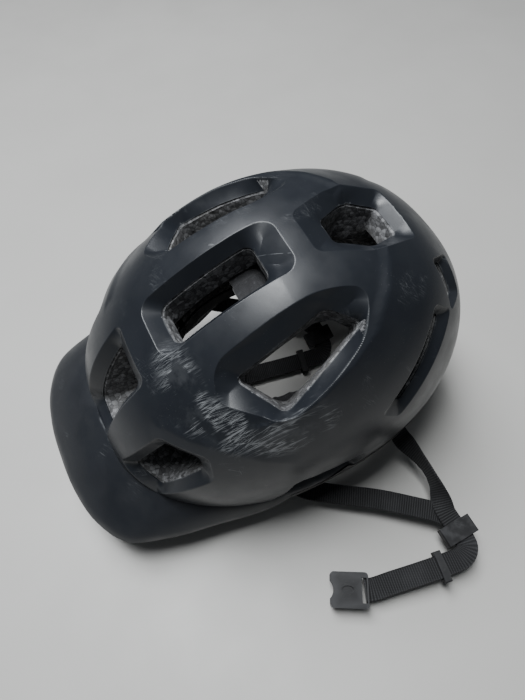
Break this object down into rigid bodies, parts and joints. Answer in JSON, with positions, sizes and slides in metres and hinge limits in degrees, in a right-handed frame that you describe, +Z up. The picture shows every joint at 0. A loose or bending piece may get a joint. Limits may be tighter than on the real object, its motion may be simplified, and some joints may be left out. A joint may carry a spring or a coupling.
{
  "type": "cycling helmet",
  "caption": "Adult mountain-bike helmet with a vented matte shell, foam liner, short peak, rear dial fit system and an unbuckled webbing chin strap.",
  "frame": {"origin": "centre of the dome's widest level, where the middle of the wearer's head sits", "axes": "+Z up as worn, -Y the front with the peak, +X the wearer's left"},
  "size_m": [0.3163, 0.3236, 0.2031],
  "materials": {
    "shell_polycarbonate": "satin",
    "rim_polycarbonate": "matte",
    "visor_plastic": "satin",
    "eps_foam": "matte",
    "pad_fabric": "matte",
    "hook_tape": "matte",
    "black_nylon": "satin",
    "dial_rubber": "matte",
    "acetal_gear": "satin",
    "strap_webbing": "matte",
    "keeper_rubber": "matte",
    "buckle_acetal": "gloss"
  },
  "bodies": {
    "helmet": {"upper_shell": "shell_polycarbonate", "lower_rim_shell": "rim_polycarbonate", "visor_peak": "visor_plastic", "foam_liner": "eps_foam", "brow_pad": "pad_fabric", "crown_pad": "pad_fabric", "left_side_pad": "pad_fabric", "right_side_pad": "pad_fabric", "pad_hook_patches": "hook_tape", "strap_anchor_caps": "black_nylon", "headband_temple_pins": "black_nylon"},
    "cradle": {"rear_cradle": "black_nylon", "gear_cover": "black_nylon", "cradle_nape_pad": "pad_fabric"},
    "dial": {"fit_dial_knob": "dial_rubber", "fit_dial_pinion": "acetal_gear"},
    "left_band": {"left_headband": "black_nylon"},
    "right_band": {"right_headband": "black_nylon"},
    "left_straps": {"left_front_strap": "strap_webbing", "left_rear_strap": "strap_webbing", "buckle_socket": "buckle_acetal"},
    "right_straps": {"right_front_strap": "strap_webbing", "right_rear_strap": "strap_webbing", "buckle_plug_base": "buckle_acetal"},
    "left_divider": {"left_strap_divider": "black_nylon"},
    "right_divider": {"right_strap_divider": "black_nylon"},
    "left_keeper": {"left_keeper_ring": "keeper_rubber"},
    "right_keeper": {"right_keeper_ring": "keeper_rubber"},
    "front_prong": {"buckle_plug_front_prong": "buckle_acetal"},
    "rear_prong": {"buckle_plug_rear_prong": "buckle_acetal"}
  },
  "joints": [
    {"name": "cradle_tilt", "type": "hinge", "parent": "helmet", "child": "cradle", "pos_m": [0, -0.062, -0.01], "axis": [1, 0, 0], "range_deg": [-4, 0]},
    {"name": "dial_turn", "type": "hinge", "parent": "cradle", "child": "dial", "pos_m": [0, 0.095, -0.066], "axis": [0, -1, 0], "range_deg": [0, 160]},
    {"name": "left_band_slide", "type": "slide", "parent": "cradle", "child": "left_band", "axis": [-1, 0, 0], "range_m": [0, 0.014]},
    {"name": "right_band_slide", "type": "slide", "parent": "cradle", "child": "right_band", "axis": [1, 0, 0], "range_m": [0, 0.014]},
    {"name": "left_strap_swing", "type": "hinge", "parent": "helmet", "child": "left_straps", "pos_m": [0.097, 0, -0.0487], "axis": [0, 0.9977, -0.068], "range_deg": [0, 80]},
    {"name": "right_strap_swing", "type": "hinge", "parent": "helmet", "child": "right_straps", "pos_m": [-0.097, 0, -0.0487], "axis": [0, 0.9977, -0.068], "range_deg": [0, 90]},
    {"name": "left_divider_slide", "type": "slide", "parent": "left_straps", "child": "left_divider", "axis": [0.9994, 0.0024, 0.0347], "range_m": [-0.0045, 0.0015]},
    {"name": "right_divider_slide", "type": "slide", "parent": "right_straps", "child": "right_divider", "axis": [0.9513, -0.021, -0.3077], "range_m": [-0.0045, 0.0015]},
    {"name": "left_keeper_slide", "type": "slide", "parent": "left_straps", "child": "left_keeper", "axis": [-0.1904, -0.9799, 0.0602], "range_m": [0, 0.035]},
    {"name": "right_keeper_slide", "type": "slide", "parent": "right_straps", "child": "right_keeper", "axis": [-0.1812, -0.9754, 0.1254], "range_m": [0, 0.035]},
    {"name": "front_prong_squeeze", "type": "hinge", "parent": "right_straps", "child": "front_prong", "pos_m": [-0.01266, -0.04472, -0.07116], "axis": [0.3084, 0.0647, 0.9491], "range_deg": [-8, 0]},
    {"name": "rear_prong_squeeze", "type": "hinge", "parent": "right_straps", "child": "rear_prong", "pos_m": [-0.02261, -0.03863, -0.06834], "axis": [0.3084, 0.0647, 0.9491], "range_deg": [0, 8]}
  ],
  "couplings": [
    {"joint": "left_band_slide", "follows": "dial_turn", "m_per_rad": 0.005},
    {"joint": "right_band_slide", "follows": "dial_turn", "m_per_rad": 0.005},
    {"joint": "rear_prong_squeeze", "follows": "front_prong_squeeze", "ratio": -1}
  ]
}
